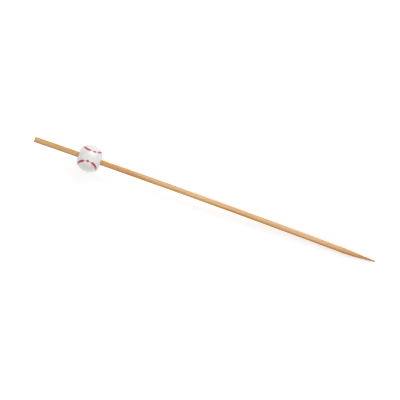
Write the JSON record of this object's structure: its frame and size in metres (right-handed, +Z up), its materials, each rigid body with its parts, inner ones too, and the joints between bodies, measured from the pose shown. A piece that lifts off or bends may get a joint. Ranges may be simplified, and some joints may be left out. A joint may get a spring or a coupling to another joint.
{
  "type": "cocktail pick",
  "caption": "Round bamboo cocktail pick with a ground point and a white gloss ball bead near its blunt end, painted with a red stitched-ball seam.",
  "frame": {"origin": "on the surface that the pick lies on, under the middle of its bounding box", "axes": "+X along the pick towards its point, +Z up"},
  "size_m": [0.12, 0.009, 0.009],
  "materials": {
    "bamboo": "sanded bare bamboo with fine lengthwise grain",
    "white_bead": "smooth high gloss",
    "red_paint": "gloss paint, slightly uneven"
  },
  "bodies": {
    "root": {"bamboo_stick": "bamboo", "ball_bead": "white_bead", "seam_paint": "red_paint"}
  },
  "joints": []
}
